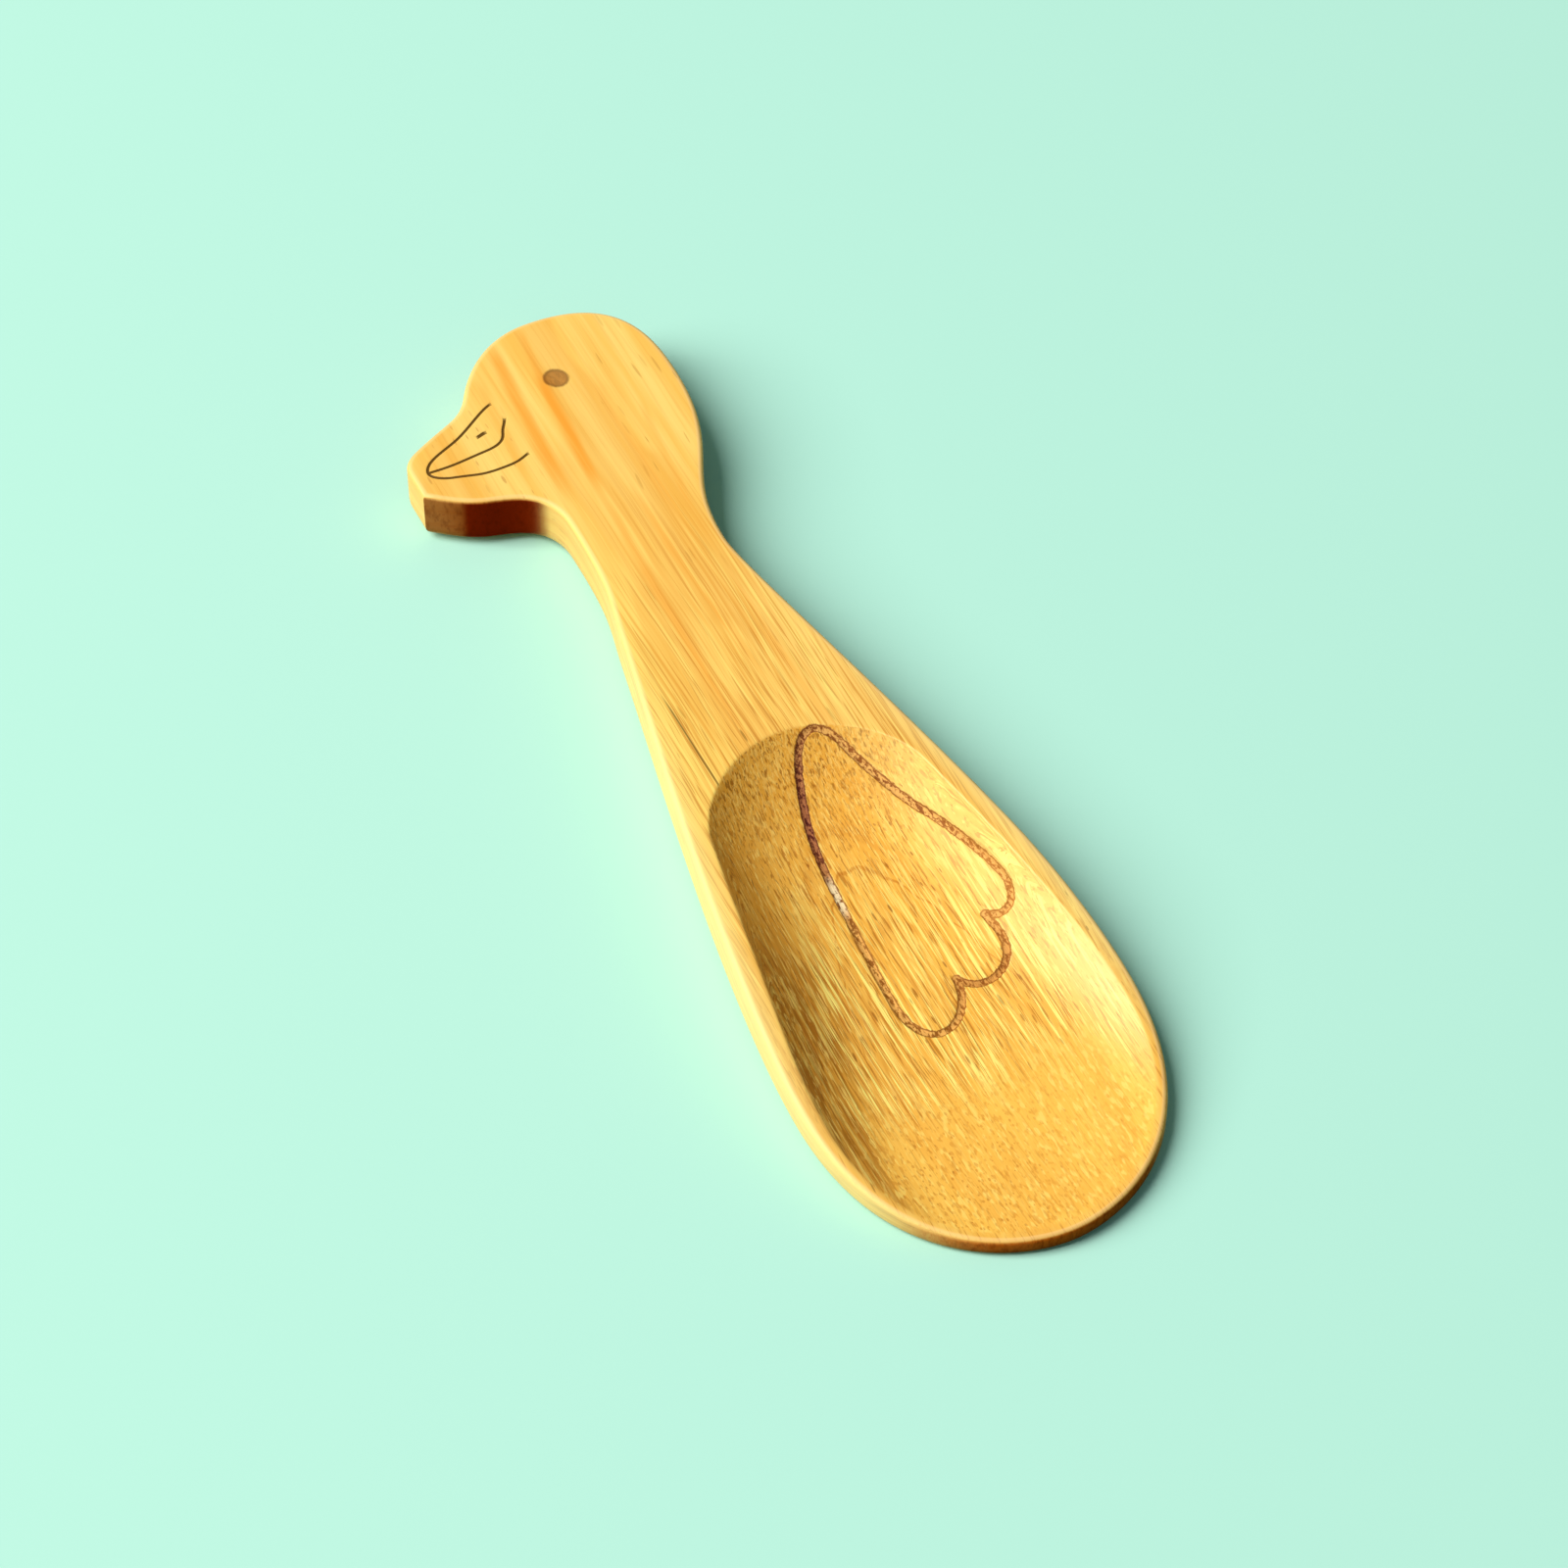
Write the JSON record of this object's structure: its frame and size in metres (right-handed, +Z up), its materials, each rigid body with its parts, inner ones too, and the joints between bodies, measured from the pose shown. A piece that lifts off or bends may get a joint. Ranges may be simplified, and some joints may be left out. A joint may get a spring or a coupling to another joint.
{
  "type": "childrens spoon",
  "caption": "Child's serving spoon cut from a flat plank of wood in a duck's outline, with a shallow dished bowl and a grip that ends in the head.",
  "frame": {"origin": "on the flat underside, on the bowl's centre line, midway along the spoon's length", "axes": "+X along the spoon from the crown of the head to the bowl's tip, +Z up out of the bowl, the bill points to -Y"},
  "size_m": [0.1384, 0.0403, 0.0075],
  "materials": {
    "pale_wood": "smooth, oiled, satin"
  },
  "bodies": {
    "root": {"carved_spoon": "pale_wood"}
  },
  "joints": []
}
